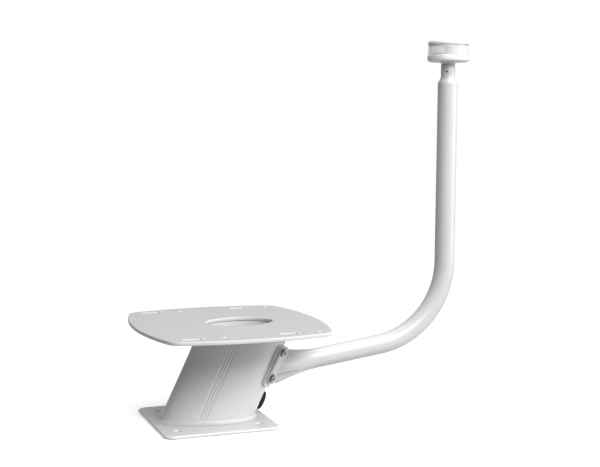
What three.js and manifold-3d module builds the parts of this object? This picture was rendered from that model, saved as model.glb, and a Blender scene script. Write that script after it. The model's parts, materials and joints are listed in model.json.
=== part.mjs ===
// Raked aluminium mounting tower with a bent light arm and an all-round light.
// Millimetres. +Z is up, +X points aft, and the origin is the middle of the
// base plate's underside. The tower is the same on both sides of the XZ plane.
import * as THREE from 'three';
import { mergeVertices } from 'three/addons/utils/BufferGeometryUtils.js';
import Module from 'manifold-3d';

const wasm = await Module();
wasm.setup();

const { cos, sin, tan, hypot, atan2, acos, PI } = Math;
const degrees = PI / 180;
const gap = 0.3;            // clearance between pieces that touch

// Overall heights
const towerHeight = 150;    // base underside to top plate upper face
const rake = 25 * degrees;  // the column leans aft by this much

// Base plate
const baseLength = 178;
const baseWidth = 184;
const baseThickness = 5;
const baseCorner = 14.5;
const baseHoleX = 63;
const baseHoleY = 62;
const baseHoleRadius = 4.5;
const cableEntry = { x: 38, radius: 20 };

// Top plate
const plate = {
  x: 31, halfLength: 143, halfWidth: 149, endRadius: 400, sideRadius: 440,
  corner: 24, thickness: 6, edge: 1.2,
};
const plateOpening = { x: 51, halfLength: 52, halfWidth: 37 };
const plateHoleRadius = 3.5;
const plateHoleRow = 121;            // rows of holes, this far either side of the middle
const plateHoleOffsets = [-70.5, -39, 73.5, 106];
const plateSlotOffsets = [-88.5, 56];
const plateSlotLength = 27;

// Column: an extruded section, measured square to its own raked axis
const section = { x: 15.5, noseRadius: 48, foreLength: 85.5, fullness: 0.5, wall: 4 };
const grooveOffsets = [-28.1, -24.2, -20.3];
const grooveWidth = 0.9;
const grooveDepth = 0.5;
const weldLeg = 4.5;

// Saddle joint on the column's aft nose, heights measured up the raked axis
const pad = { low: 82.5, high: 150.2, thickness: 4.2, spread: 58 * degrees, corner: 9 };
const flange = { low: 89, high: 150.2, thickness: 4.2, spread: 57 * degrees, corner: 9 };
const boltHeights = { lower: 98.5, upper: 141.2 };
const boltAngle = 49.5 * degrees;
const boltRadius = 2.9;
const boltHoleRadius = 3.3;
const washer = { radius: 6, thickness: 1.6 };
const boltHead = { radius: 5.25, height: 3.4, socket: 2.1, socketDepth: 2 };
const insert = { radius: 4.4, length: 13, collarRadius: 6, collarLength: 2.4 };

// Cable port and its push-in cover
const port = { height: 58.6, halfWidth: 8, halfHeight: 11.5 };
const cover = { halfWidth: 11.5, halfHeight: 15.2, dome: 7.6, plugClearance: 0.4, plugLength: 9 };
const gasketThickness = 1;

// Light arm
const armSlope = 7.7 * degrees;
const armStart = { x: 118, z: 76.4 };      // where the arm's axis leaves the flange
const bendRadius = 132.8;
const tubeX = 403;
const bendCentreZ = 230.9;
const tubeRadius = 16;
const tubeWall = 2;
const rootLength = 68;
const rootUnder = { from: -14, to: 50, growth: 8.6, power: 1.4 };    // flare of the underside
const rootOver = { from: -14, to: 62, growth: 15.5, power: 1.7 };    // and of the upper side
const rootHalfWidth = 38;
const scoopShape = { wide: 10.5, narrow: 2, length: 52, inward: 19 };
const scoopPlaces = {
  lower: { start: [-32, 42, -12], rise: 5 },
  upper: { start: [-10, 42, 27], rise: -9 },
};
const swageLow = 518;
const swageHigh = 529;
const neckRadius = 11.3;
const neckTop = 549.6;

// All-round light, heights above the deck
const light = {
  collarLow: 549.9, baseLow: 552, lensLow: 563.4, lensHigh: 578.9, capLow: 579.9, capHigh: 587,
};
const baseRingRadius = 33.4;
const lensRadius = 32.7;
const lensWall = 2.4;
const capRadius = 32.8;
const ledCount = 8;
const ledCircle = 17;

const round = 32;           // facets on a large round part
const fine = 14;            // facets on a small round part

// ---------- Solids ----------

function solid(geometry) {
  const plain = geometry.clone();
  plain.deleteAttribute('normal');
  plain.deleteAttribute('uv');
  const merged = mergeVertices(plain, 1e-4);
  return new wasm.Manifold(new wasm.Mesh({
    numProp: 3,
    vertProperties: new Float32Array(merged.attributes.position.array),
    triVerts: new Uint32Array(merged.index.array),
  }));
}

function surface(body) {
  const mesh = body.getMesh();
  const geometry = new THREE.BufferGeometry();
  geometry.setAttribute('position', new THREE.BufferAttribute(mesh.vertProperties, 3));
  geometry.setIndex(new THREE.BufferAttribute(mesh.triVerts, 1));
  geometry.computeVertexNormals();
  return geometry;
}

function cut(geometry, ...tools) {
  return surface(tools.reduce((body, tool) => body.subtract(solid(tool)), solid(geometry)));
}

function join(geometry, ...others) {
  return surface(others.reduce((body, other) => body.add(solid(other)), solid(geometry)));
}

function common(geometry, other) {
  return surface(solid(geometry).intersect(solid(other)));
}

// A block given by its lowest and highest corners
function block(low, high) {
  const size = high.map((value, i) => value - low[i]);
  return new THREE.BoxGeometry(...size).translate(...low.map((value, i) => value + size[i] / 2));
}

// A cylinder from one height to another along Z
function upright(radius, low, high, facets = fine) {
  return new THREE.CylinderGeometry(radius, radius, high - low, facets)
    .rotateX(PI / 2).translate(0, 0, (low + high) / 2);
}

// A body of revolution about Z: profile points are [radius, height]
function turned(profile, facets = round) {
  const points = profile.map(([radius, height]) => new THREE.Vector2(radius, height));
  return new THREE.LatheGeometry(points, facets).rotateX(PI / 2);
}

// Two radii and two heights give a plain ring, closed on itself
function ring(inner, outer, low, high, facets = round) {
  return turned([[inner, low], [outer, low], [outer, high], [inner, high], [inner, low]], facets);
}

function extruded(shape, depth, curveSegments = 12) {
  return new THREE.ExtrudeGeometry(shape, { depth, bevelEnabled: false, curveSegments });
}

// A plate with its upper and lower edges broken by a small bevel
function sheet(shape, thickness, edge, curveSegments) {
  return new THREE.ExtrudeGeometry(shape, {
    depth: thickness - 2 * edge,
    bevelThickness: edge,
    bevelSize: edge,
    bevelOffset: -edge,
    bevelSegments: 1,
    curveSegments,
  }).translate(0, 0, edge);
}

// ---------- Outlines ----------

function roundedRectangle(length, width, corner) {
  const x = length / 2 - corner;
  const y = width / 2 - corner;
  const shape = new THREE.Shape();
  shape.absarc(x, y, corner, 0, PI / 2);
  shape.absarc(-x, y, corner, PI / 2, PI);
  shape.absarc(-x, -y, corner, PI, 1.5 * PI);
  shape.absarc(x, -y, corner, 1.5 * PI, 2 * PI);
  return shape;
}

// Four convex sides, each an arc, run into each other through corner arcs
function cushion({ halfLength, halfWidth, endRadius, sideRadius, corner }) {
  const endX = halfLength - endRadius;
  const sideY = halfWidth - sideRadius;
  const fromEnd = endRadius - corner;
  const fromSide = sideRadius - corner;
  const apart = hypot(endX, sideY);
  const opening = acos((fromEnd ** 2 + apart ** 2 - fromSide ** 2) / (2 * fromEnd * apart));
  const endAngle = atan2(sideY, -endX) + opening;
  const x = endX + fromEnd * cos(endAngle);
  const y = fromEnd * sin(endAngle);
  const sideAngle = atan2(y - sideY, x);
  const shape = new THREE.Shape();
  shape.absarc(endX, 0, endRadius, -endAngle, endAngle);
  shape.absarc(x, y, corner, endAngle, sideAngle);
  shape.absarc(0, sideY, sideRadius, sideAngle, PI - sideAngle);
  shape.absarc(-x, y, corner, PI - sideAngle, PI - endAngle);
  shape.absarc(-endX, 0, endRadius, PI - endAngle, PI + endAngle);
  shape.absarc(-x, -y, corner, PI + endAngle, PI + sideAngle);
  shape.absarc(0, -sideY, sideRadius, PI + sideAngle, 2 * PI - sideAngle);
  shape.absarc(x, -y, corner, 2 * PI - sideAngle, 2 * PI - endAngle);
  return shape;
}

// The column's section: a half-round nose aft and a leaner nose forward.
// inset makes it smaller all round, or larger when it is negative.
function columnSection(inset, stretch = 1) {
  const { x, noseRadius, foreLength, fullness } = section;
  const half = noseRadius - inset;
  const fore = x - foreLength + inset;
  const reach = (x - fore) * fullness;
  const rise = half * fullness;
  const shape = new THREE.Shape();
  shape.moveTo(x * stretch, half);
  shape.bezierCurveTo((x - reach) * stretch, half, fore * stretch, rise, fore * stretch, 0);
  shape.bezierCurveTo(fore * stretch, -rise, (x - reach) * stretch, -half, x * stretch, -half);
  shape.absellipse(x * stretch, 0, half * stretch, half, -PI / 2, PI / 2);
  return shape;
}

function oval(halfLength, halfWidth) {
  return new THREE.Shape().absellipse(0, 0, halfLength, halfWidth, 0, 2 * PI);
}

function slot(length, radius) {
  const reach = length / 2 - radius;
  const shape = new THREE.Shape();
  shape.absarc(reach, 0, radius, -PI / 2, PI / 2);
  shape.absarc(-reach, 0, radius, PI / 2, 1.5 * PI);
  return shape;
}

// ---------- Materials ----------

function finish(color, roughness, metalness = 0) {
  return new THREE.MeshStandardMaterial({ color, roughness, metalness });
}

const materials = {
  whiteCoat: () => finish(0xe9eaec, 0.3),
  plateCoat: () => finish(0xe2e3e4, 0.45),
  weld: () => finish(0xe6e7e9, 0.4),
  greyNylon: () => finish(0xb9bbbd, 0.5),
  stainless: () => finish(0xb8b6b2, 0.25, 1),
  aluminium: () => finish(0xc4c6c8, 0.35, 1),
  blackRubber: () => finish(0x121214, 0.6),
  clearLens: () => {
    const clear = finish(0xf2f4f6, 0.08);
    clear.transparent = true;
    clear.opacity = 0.35;
    return clear;
  },
  whitePlastic: () => finish(0xeceded, 0.35),
  capPlastic: () => finish(0xe4e6e8, 0.2),
  circuitBoard: () => finish(0xdfe2de, 0.5),
  lightSource: () => finish(0xf6e7a8, 0.3),
  reflector: () => finish(0xf4f4f4, 0.15),
};

function piece(parent, name, geometry, material) {
  const mesh = new THREE.Mesh(geometry, materials[material]());
  mesh.name = name;
  parent.add(mesh);
  return mesh;
}

// ---------- Plates ----------

function basePlate() {
  const body = sheet(roundedRectangle(baseLength, baseWidth, baseCorner), baseThickness, 1.2, 4);
  const holes = [-1, 1].flatMap((fore) => [-1, 1].map((side) => (
    upright(baseHoleRadius, -1, baseThickness + 1, 16)
      .translate(fore * baseHoleX, side * baseHoleY, 0)
  )));
  const entry = upright(cableEntry.radius, -1, baseThickness + 1, 28).translate(cableEntry.x, 0, 0);
  return cut(body, ...holes, entry);
}

function topPlate() {
  const through = plate.thickness + 2;
  const holes = [-1, 1].flatMap((side) => [
    ...plateHoleOffsets.map((x) => upright(plateHoleRadius, 0, through, 12)
      .translate(x, side * plateHoleRow, -1)),
    ...plateSlotOffsets.map((x) => extruded(slot(plateSlotLength, plateHoleRadius), through, 4)
      .translate(x, side * plateHoleRow, -1)),
  ]);
  const opening = extruded(oval(plateOpening.halfLength, plateOpening.halfWidth), through, 18)
    .translate(plateOpening.x - plate.x, 0, -1);
  return cut(sheet(cushion(plate), plate.thickness, plate.edge, 4), ...holes, opening);
}

// A weld bead around the column: a band with a sloping face, sheared along the rake.
// wide is the level that the band meets, and narrow the level where it dies out.
function weldBead(wide, narrow) {
  const rise = narrow - wide;
  const band = new THREE.ExtrudeGeometry(columnSection(-gap, 1 / cos(rake)), {
    depth: 0.01,
    bevelThickness: weldLeg,
    bevelSize: weldLeg,
    bevelSegments: 1,
    curveSegments: 9,
  });
  const reach = 2 * baseLength;
  const half = rise > 0 ? block([-reach, -reach, 0], [reach, reach, weldLeg - 0.4])
    : block([-reach, -reach, 0.4 - weldLeg], [reach, reach, 0]);
  const lean = new THREE.Matrix4().makeShear(0, 0, 0, 0, tan(rake), 0);
  const bead = common(band, half).applyMatrix4(lean).translate(wide * tan(rake), 0, wide);
  return cut(bead, columnRod(-gap).rotateY(rake));
}

// ---------- Raked column and what is fixed to it, in the column's own frame ----------

// The solid section run along the raked axis, long enough to be cut off level
function columnRod(inset) {
  return extruded(columnSection(inset), 320, 11).translate(0, 0, -70);
}

// Everything above one level and below another, seen from the column's frame
function levels(low, high) {
  const reach = 400;
  return block([-reach, -reach, low], [reach, reach, high]).rotateY(-rake);
}

// A radial cylinder through the nose at one of the bolts, between two radii
function atBolt(side, height, radius, inner, outer, facets = fine) {
  return new THREE.CylinderGeometry(radius, radius, outer - inner, facets)
    .rotateZ(-PI / 2).translate((inner + outer) / 2, 0, 0)
    .rotateZ(side * boltAngle).translate(section.x, 0, height);
}

const boltPlaces = ['lower', 'upper'].flatMap((level) => [
  { name: `${level}_near`, side: -1, height: boltHeights[level] },
  { name: `${level}_far`, side: 1, height: boltHeights[level] },
]);

function portTool(halfWidth, halfHeight, inner, outer) {
  return extruded(oval(halfHeight, halfWidth), outer - inner, 12)
    .rotateY(PI / 2).translate(section.x + inner, 0, port.height);
}

// A shallow channel run along the axis, on the section's surface at one place along it
function groove(offset, side) {
  const { x, foreLength, noseRadius, fullness } = section;
  const edge = new THREE.CubicBezierCurve(
    new THREE.Vector2(x, noseRadius),
    new THREE.Vector2(x - foreLength * fullness, noseRadius),
    new THREE.Vector2(x - foreLength, noseRadius * fullness),
    new THREE.Vector2(x - foreLength, 0),
  ).getPoints(200).find((point) => point.x < offset);
  const tall = 2 * towerHeight;
  return new THREE.BoxGeometry(grooveWidth, 2 * grooveDepth, tall)
    .translate(offset, side * edge.y, towerHeight / 2);
}

function column() {
  const { noseRadius, wall } = section;
  const grooves = grooveOffsets.flatMap((offset) => [-1, 1].map((side) => groove(offset, side)));
  const body = common(cut(columnRod(0), ...grooves), levels(
    baseThickness + gap,
    towerHeight - plate.thickness - gap,
  ));
  const holes = boltPlaces.map(({ side, height }) => (
    atBolt(side, height, insert.radius + gap, noseRadius - wall - 2, noseRadius + 2)
  ));
  const cablePort = portTool(port.halfWidth, port.halfHeight, noseRadius - 12, noseRadius + 4);
  return cut(body, columnRod(wall), ...holes, cablePort);
}

// A curved plate that hugs the nose: a sector of a ring with rounded corners
function saddle({ low, high, thickness, spread, corner }, inner) {
  const outer = inner + thickness;
  const shape = new THREE.Shape();
  shape.absarc(0, 0, outer, -spread, spread);
  shape.absarc(0, 0, inner, spread, -spread, true);
  const body = extruded(shape, high - low, 9).translate(section.x, 0, low);
  const width = 2 * (outer + 1) * sin(spread);
  const outline = extruded(roundedRectangle(high - low, width, corner), 2 * outer, 4)
    .rotateY(PI / 2).translate(section.x, 0, (low + high) / 2);
  return common(body, outline);
}

const padInner = section.noseRadius + gap;
const flangeInner = padInner + pad.thickness + gap;
const flangeOuter = flangeInner + flange.thickness;
const seatRadius = flangeOuter - 1.6;              // spot-faced seat under each washer

function saddlePad() {
  const holes = boltPlaces.map(({ side, height }) => (
    atBolt(side, height, boltHoleRadius, padInner - 6, flangeInner + 2)
  ));
  return cut(saddle(pad, padInner), ...holes);
}

// ---------- Light arm ----------

// A round bar whose rings are moved to follow a changing width and height
function flared(length, start, halfHeight, halfWidth) {
  const steps = 9;
  const bar = new THREE.CylinderGeometry(1, 1, length, round, steps).rotateZ(-PI / 2)
    .translate(length / 2 + start, 0, 0);
  const place = bar.attributes.position;
  for (let i = 0; i < place.count; i += 1) {
    const along = place.getX(i);
    const tall = halfHeight(along, place.getZ(i) > 0 ? rootOver : rootUnder);
    place.setXYZ(i, along, place.getY(i) * halfWidth(along), place.getZ(i) * tall);
  }
  return bar;
}

function smooth(along, from, to) {
  const t = THREE.MathUtils.clamp((along - from) / (to - from), 0, 1);
  return t * t * (3 - 2 * t);
}

function rootHeightAt(along, { from, to, growth, power }) {
  const t = THREE.MathUtils.clamp((to - along) / (to - from), 0, 1);
  return tubeRadius + growth * t ** power;
}

const rootWidthAt = (along) => THREE.MathUtils.lerp(rootHalfWidth, tubeRadius,
  smooth(along, -30, rootLength - 4));

// From the arm's own frame, X along its straight axis, to the column's frame
const armInColumn = new THREE.Matrix4().makeRotationY(-rake)
  .multiply(new THREE.Matrix4().makeTranslation(armStart.x, 0, armStart.z))
  .multiply(new THREE.Matrix4().makeRotationY(-armSlope));

function boreAlongArm(radius, from, to, facets = fine) {
  return new THREE.CylinderGeometry(radius, radius, to - from, facets).rotateZ(-PI / 2)
    .translate((from + to) / 2, 0, 0);
}

// A hollow worked into the flare beside a bolt so that its head can be reached
function scoop(name, side) {
  const { start: [along, aside, above], rise } = scoopPlaces[name.split('_')[0]];
  const hollow = new THREE.CylinderGeometry(scoopShape.narrow, scoopShape.wide,
    scoopShape.length, 12).rotateZ(-PI / 2)
    .translate(scoopShape.length / 2, 0, 0)
    .rotateZ(-side * scoopShape.inward * degrees)
    .rotateY(-rise * degrees)
    .translate(along, side * aside, above);
  return hollow.applyMatrix4(armInColumn);
}

function armFoot() {
  const start = -42;
  const scoops = boltPlaces.map(({ name, side }) => scoop(name, side));
  const flare = cut(flared(rootLength - start, start, rootHeightAt, rootWidthAt)
    .applyMatrix4(armInColumn), ...scoops);
  const spigot = boreAlongArm(tubeRadius - tubeWall - gap, rootLength - 4, rootLength + 22)
    .applyMatrix4(armInColumn);
  const shell = saddle(flange, flangeInner);
  const body = join(shell, flare, spigot);
  const cable = boreAlongArm(8, -80, rootLength + 40).applyMatrix4(armInColumn);
  const seat = upright(flangeInner, flange.low - 40, flange.high + 40, 40).translate(section.x, 0, 0);
  const bolts = boltPlaces.flatMap(({ side, height }) => [
    atBolt(side, height, boltHoleRadius, flangeInner - 4, flangeOuter + 4),
    atBolt(side, height, washer.radius + 1.6, seatRadius, flangeOuter + 50),
  ]);
  return cut(body, seat, cable, ...bolts);
}

// The tube's centreline, from the end of its cast root to the foot of its swage
function armRoute() {
  const begin = new THREE.Vector3(
    armStart.x + (rootLength + gap) * cos(armSlope),
    0,
    armStart.z + (rootLength + gap) * sin(armSlope),
  );
  const centre = new THREE.Vector3(tubeX - bendRadius, 0, bendCentreZ);
  const onBend = (angle) => new THREE.Vector3(
    centre.x + bendRadius * sin(angle), 0, centre.z - bendRadius * cos(angle),
  );
  const route = new THREE.CurvePath();
  route.add(new THREE.LineCurve3(begin, onBend(armSlope)));
  const turns = 4;
  const sweep = PI / 2 - armSlope;
  for (let i = 0; i < turns; i += 1) {
    const from = armSlope + (sweep * i) / turns;
    const to = armSlope + (sweep * (i + 1)) / turns;
    const reach = bendRadius * (4 / 3) * tan((to - from) / 4);
    const a = onBend(from);
    const b = onBend(to);
    route.add(new THREE.CubicBezierCurve3(
      a,
      new THREE.Vector3(a.x + reach * cos(from), 0, a.z + reach * sin(from)),
      new THREE.Vector3(b.x - reach * cos(to), 0, b.z - reach * sin(to)),
      b,
    ));
  }
  route.add(new THREE.LineCurve3(onBend(PI / 2), new THREE.Vector3(tubeX, 0, swageLow - 10)));
  return route;
}

function tubeSolid(radius) {
  const outline = new THREE.Shape().absarc(0, 0, radius, 0, 2 * PI);
  return new THREE.ExtrudeGeometry(outline, {
    steps: 24, curveSegments: 9, bevelEnabled: false, extrudePath: armRoute(),
  });
}

function swagedEnd(inset) {
  const low = swageLow - 12;
  const middle = (swageLow + swageHigh) / 2;
  const reach = inset > 0 ? 1 : 0;
  return turned([
    [0, low - reach], [tubeRadius - inset, low - reach], [tubeRadius - inset, swageLow],
    [tubeRadius - inset - 0.7, swageLow + 3], [neckRadius - inset + 1.4, middle + 2],
    [neckRadius - inset, swageHigh], [neckRadius - inset, neckTop + reach], [0, neckTop + reach],
  ], 18).translate(tubeX, 0, 0);
}

function armTube() {
  const outer = join(tubeSolid(tubeRadius), swagedEnd(0));
  const screwHole = grubScrewTool(1.9, 0, neckRadius + 4);
  return cut(outer, tubeSolid(tubeRadius - tubeWall), swagedEnd(tubeWall), endBore(), screwHole);
}

// Opens the tube's lower end, which the inner tube only just reaches
function endBore() {
  return boreAlongArm(tubeRadius - tubeWall, rootLength - 6, rootLength + 8)
    .rotateY(-armSlope).translate(armStart.x, 0, armStart.z);
}

const grubScrew = { height: 537, angle: -126 * degrees };

function grubScrewTool(radius, inner, outer) {
  return new THREE.CylinderGeometry(radius, radius, outer - inner, 12).rotateZ(-PI / 2)
    .translate((inner + outer) / 2, 0, 0).rotateZ(grubScrew.angle)
    .translate(tubeX, 0, grubScrew.height);
}

// ---------- Fasteners, each made along X and then set at its place on the nose ----------

function atPlace(geometry, side, height) {
  return geometry.rotateZ(side * boltAngle).translate(section.x, 0, height);
}

function boltAlongX() {
  const under = seatRadius + gap + washer.thickness + gap;
  const top = under + boltHead.height;
  const { radius } = boltHead;
  const tip = section.noseRadius - insert.length + 1;
  const profile = [
    [0, tip], [boltRadius - 0.6, tip], [boltRadius, tip + 0.8], [boltRadius, under],
    [radius, under], [radius, under + 0.7], [radius * 0.93, under + 1.7],
    [radius * 0.74, top - 0.55], [radius * 0.5, top - 0.1], [0, top],
  ];
  const socket = upright(boltHead.socket, top - boltHead.socketDepth, top + 1, 6);
  return cut(turned(profile, fine), socket).rotateY(PI / 2);
}

function washerAlongX() {
  const low = seatRadius + gap;
  return ring(boltHoleRadius, washer.radius, low, low + washer.thickness, fine).rotateY(PI / 2);
}

// A blind threaded insert: plain through the wall, with its collar formed behind it
function insertAlongX() {
  const outer = section.noseRadius - 0.2;
  const tail = outer - insert.length;
  const behind = section.noseRadius - section.wall - 1.2;
  const bore = boltRadius + gap;
  return turned([
    [bore, tail], [insert.radius, tail], [insert.radius, behind - insert.collarLength],
    [insert.collarRadius, behind - insert.collarLength], [insert.collarRadius, behind],
    [insert.radius, behind], [insert.radius, outer], [bore, outer], [bore, tail],
  ], 12).rotateY(PI / 2);
}

// ---------- Cable port ----------

function bulge(inset, centreX) {
  return new THREE.SphereGeometry(1, 20, 10)
    .scale(cover.dome - inset, cover.halfWidth - inset, cover.halfHeight - inset)
    .translate(centreX, 0, port.height);
}

function nose(radius) {
  return upright(radius, port.height - 40, port.height + 40, 40).translate(section.x, 0, 0);
}

const noseX = section.x + section.noseRadius;

function cableCover() {
  const dome = cut(bulge(0, noseX - 0.6), nose(section.noseRadius + gap + gasketThickness + gap));
  const { halfWidth, halfHeight } = port;
  const inner = section.noseRadius - cover.plugLength;
  const plug = portTool(halfWidth - cover.plugClearance, halfHeight - cover.plugClearance,
    inner, section.noseRadius + 2);
  const hollow = portTool(halfWidth - 2.2, halfHeight - 2.2, inner - 1, section.noseRadius - 0.5);
  return cut(join(dome, plug), hollow);
}

function coverGasket() {
  const band = cut(nose(section.noseRadius + gap + gasketThickness), nose(section.noseRadius + gap));
  const rim = 1.3;
  const outline = portTool(cover.halfWidth - rim, cover.halfHeight - rim, 30, 60);
  return cut(common(band, outline), portTool(port.halfWidth + gap, port.halfHeight + gap, 20, 70));
}

// ---------- All-round light ----------

const boardZ = light.lensLow + 1.2;

function lampCollar() {
  return turned([
    [9.3, light.collarLow], [neckRadius + 0.2, light.collarLow], [12.9, light.baseLow - gap],
    [9.3, light.baseLow - gap], [9.3, light.collarLow],
  ], 24);
}

function lampStem() {
  return turned([
    [4, light.collarLow - 22], [7.6, light.collarLow - 22], [8.4, light.collarLow - 21],
    [8.4, light.baseLow + 4.6], [4, light.baseLow + 4.6], [4, light.collarLow - 22],
  ], fine);
}

// A shallow cup with a rounded underside, open above, with a hole for the stem
function lampBase() {
  const { baseLow, lensLow } = light;
  const bend = 4.5;
  const arc = [0, 1, 2, 3].map((i) => {
    const turn = (PI / 2) * (i / 3);
    return [baseRingRadius - bend + bend * sin(turn), baseLow + 0.7 + bend * (1 - cos(turn))];
  });
  return turned([
    [8.8, baseLow], [18, baseLow], ...arc, [baseRingRadius, lensLow - gap - 1.2],
    [baseRingRadius - 0.6, lensLow - gap], [29.6, lensLow - gap], [29.6, baseLow + 5.4],
    [26, baseLow + 3.4], [8.8, baseLow + 3.4], [8.8, baseLow],
  ]);
}

function lens() {
  const { lensLow, lensHigh } = light;
  const inner = lensRadius - lensWall;
  const ribs = 3;
  const pitch = (lensHigh - lensLow - 3) / ribs;
  const wave = [];
  for (let i = 0; i <= ribs * 2; i += 1) {
    wave.push([inner + (i % 2), lensHigh - 1.5 - (pitch * i) / 2]);
  }
  return turned([
    [inner, lensLow], [lensRadius, lensLow], [lensRadius, lensHigh], [inner, lensHigh],
    ...wave, [inner, lensLow],
  ]);
}

function lampCap() {
  const { capLow, capHigh } = light;
  return turned([
    [0, capLow + 2.6], [27.6, capLow + 2.6], [28.4, capLow], [capRadius, capLow],
    [capRadius, capLow + 3.4], [capRadius - 0.5, capLow + 4.9], [capRadius - 1.8, capLow + 5.9],
    [capRadius - 8, capLow + 6.5], [capRadius - 18, capHigh - 0.2], [0, capHigh],
  ]);
}

function ledBoard() {
  return ring(6.5, 25.5, boardZ, boardZ + 1.2, 32);
}

// A spool of white plastic between the board and the cap that throws the light sideways
function lightSpool() {
  const low = boardZ + 1.2 + gap;
  const high = light.capLow + 2.6 - gap;
  const height = high - low;
  const waist = 5.5;
  const flareOut = 7.5;
  const side = [0, 1, 2, 3, 4, 5, 6].map((i) => {
    const t = i / 6;
    return [waist + flareOut * t ** 2.4, low + 1 + (height - 2.2) * t];
  });
  return turned([[0, low], [waist, low], ...side, [waist + flareOut, high], [0, high]], 24);
}

function heatSink() {
  const low = light.baseLow + 3.4 + gap;
  return turned([
    [8.9, low], [24, low], [25.4, low + 1.6], [25.4, boardZ - gap], [8.9, boardZ - gap], [8.9, low],
  ], 32);
}

function led(index) {
  const angle = (2 * PI * (index + 0.5)) / ledCount;
  const low = boardZ + 1.2 + 0.15;
  const body = block([-2.2, -1.8, 0], [2.2, 1.8, 1]);
  const dome = new THREE.SphereGeometry(1.5, 8, 4).scale(1, 1, 0.9).translate(0, 0, 0.9);
  return join(body, common(dome, block([-2, -2, 0.5], [2, 2, 4]))).rotateZ(angle)
    .translate(ledCircle * cos(angle), ledCircle * sin(angle), low);
}

function grubScrewBody() {
  const inner = neckRadius - tubeWall - 0.4;
  const outer = neckRadius - 0.2;
  const screw = grubScrewTool(1.6, inner, outer);
  const socket = new THREE.CylinderGeometry(0.8, 0.8, 1.2, 6).rotateZ(-PI / 2)
    .translate(outer, 0, 0).rotateZ(grubScrew.angle).translate(tubeX, 0, grubScrew.height);
  return cut(screw, socket);
}

// ---------- Assembly ----------

const tower = new THREE.Group();

piece(tower, 'base_plate', basePlate(), 'whiteCoat');
piece(tower, 'top_plate', topPlate(), 'plateCoat')
  .position.set(plate.x, 0, towerHeight - plate.thickness);
piece(tower, 'foot_weld', weldBead(baseThickness + gap, towerHeight), 'weld');
piece(tower, 'head_weld', weldBead(towerHeight - plate.thickness - gap, 0), 'weld');

const raked = new THREE.Group();
raked.rotation.y = rake;
tower.add(raked);
piece(raked, 'column', column(), 'whiteCoat');
piece(raked, 'saddle_pad', saddlePad(), 'greyNylon');
piece(raked, 'arm_foot', armFoot(), 'whiteCoat');
for (const { name, side, height } of boltPlaces) {
  piece(raked, `arm_bolt_${name}`, atPlace(boltAlongX(), side, height), 'stainless');
  piece(raked, `arm_washer_${name}`, atPlace(washerAlongX(), side, height), 'stainless');
  piece(raked, `wall_insert_${name}`, atPlace(insertAlongX(), side, height), 'aluminium');
}
piece(raked, 'cable_cover', cableCover(), 'blackRubber');
piece(raked, 'cover_gasket', coverGasket(), 'blackRubber');

piece(tower, 'arm_tube', armTube(), 'whiteCoat');
piece(tower, 'lamp_grub_screw', grubScrewBody(), 'stainless');

const allRoundLight = new THREE.Group();
allRoundLight.position.x = tubeX;
tower.add(allRoundLight);
piece(allRoundLight, 'lamp_collar', lampCollar(), 'whitePlastic');
piece(allRoundLight, 'lamp_stem', lampStem(), 'aluminium');
piece(allRoundLight, 'lamp_base', lampBase(), 'whitePlastic');
piece(allRoundLight, 'lamp_heat_sink', heatSink(), 'aluminium');
piece(allRoundLight, 'lamp_board', ledBoard(), 'circuitBoard');
for (let i = 0; i < ledCount; i += 1) {
  piece(allRoundLight, `lamp_led_${i + 1}`, led(i), 'lightSource');
}
piece(allRoundLight, 'lamp_spool', lightSpool(), 'reflector');
piece(allRoundLight, 'lamp_lens', lens(), 'clearLens');
piece(allRoundLight, 'lamp_cap_seal',
  ring(29, lensRadius - 0.7, light.lensHigh + 0.15, light.capLow - 0.15), 'blackRubber');
piece(allRoundLight, 'lamp_cap', lampCap(), 'capPlastic');

export default tower;
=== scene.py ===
# Raked mounting tower with a bent light arm and an all-round light.
# Sizes are in millimetres and turned into metres where a mesh is made.
import json
import math

import bmesh
import bpy
from mathutils import Matrix, Vector, noise
from mathutils.geometry import tessellate_polygon


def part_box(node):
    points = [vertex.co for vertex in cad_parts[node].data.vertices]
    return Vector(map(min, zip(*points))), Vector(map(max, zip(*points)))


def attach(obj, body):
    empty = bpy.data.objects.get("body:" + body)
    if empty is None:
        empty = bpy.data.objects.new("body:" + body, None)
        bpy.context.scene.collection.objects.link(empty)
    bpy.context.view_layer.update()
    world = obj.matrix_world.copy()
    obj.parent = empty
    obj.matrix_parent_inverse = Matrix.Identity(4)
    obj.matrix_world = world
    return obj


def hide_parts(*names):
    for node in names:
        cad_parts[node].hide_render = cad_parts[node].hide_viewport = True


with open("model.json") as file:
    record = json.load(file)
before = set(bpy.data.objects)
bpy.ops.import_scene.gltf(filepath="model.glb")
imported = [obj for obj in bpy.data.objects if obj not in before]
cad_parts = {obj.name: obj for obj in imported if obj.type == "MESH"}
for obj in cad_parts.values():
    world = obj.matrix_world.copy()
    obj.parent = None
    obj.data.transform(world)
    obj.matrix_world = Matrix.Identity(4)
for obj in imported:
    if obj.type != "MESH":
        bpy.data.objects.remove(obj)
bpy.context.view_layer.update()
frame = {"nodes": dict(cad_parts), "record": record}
print("frame loaded,", len(frame["nodes"]), "CAD nodes")

mm = 0.001
fullTurn = 2 * math.pi
halfTurn = math.pi
quarter = math.pi / 2
stage = bpy.context.scene

# The column's own frame leans aft, and the arm's frame runs along its straight part
rakeAngle = math.radians(25)
armSlope = math.radians(7.7)
armStart = Vector((118, 0, 76.4))
raked = Matrix.Rotation(rakeAngle, 4, "Y")
zToX = Matrix.Rotation(quarter, 4, "Y")
alongArm = Matrix.Translation(armStart) @ Matrix.Rotation(-armSlope, 4, "Y")


def cadSpan(node):
    low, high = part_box(node)
    return low / mm, high / mm


# ---- camera and light ----

# Angles in degrees; place, lens and sensor in millimetres
cameraFacts = {"azimuth": -21.054, "elevation": 5.463, "roll": 0.414,
               "place": (-487.59, -1655.26, 452.04), "lens": 68.8446, "sensor": 36}


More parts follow.
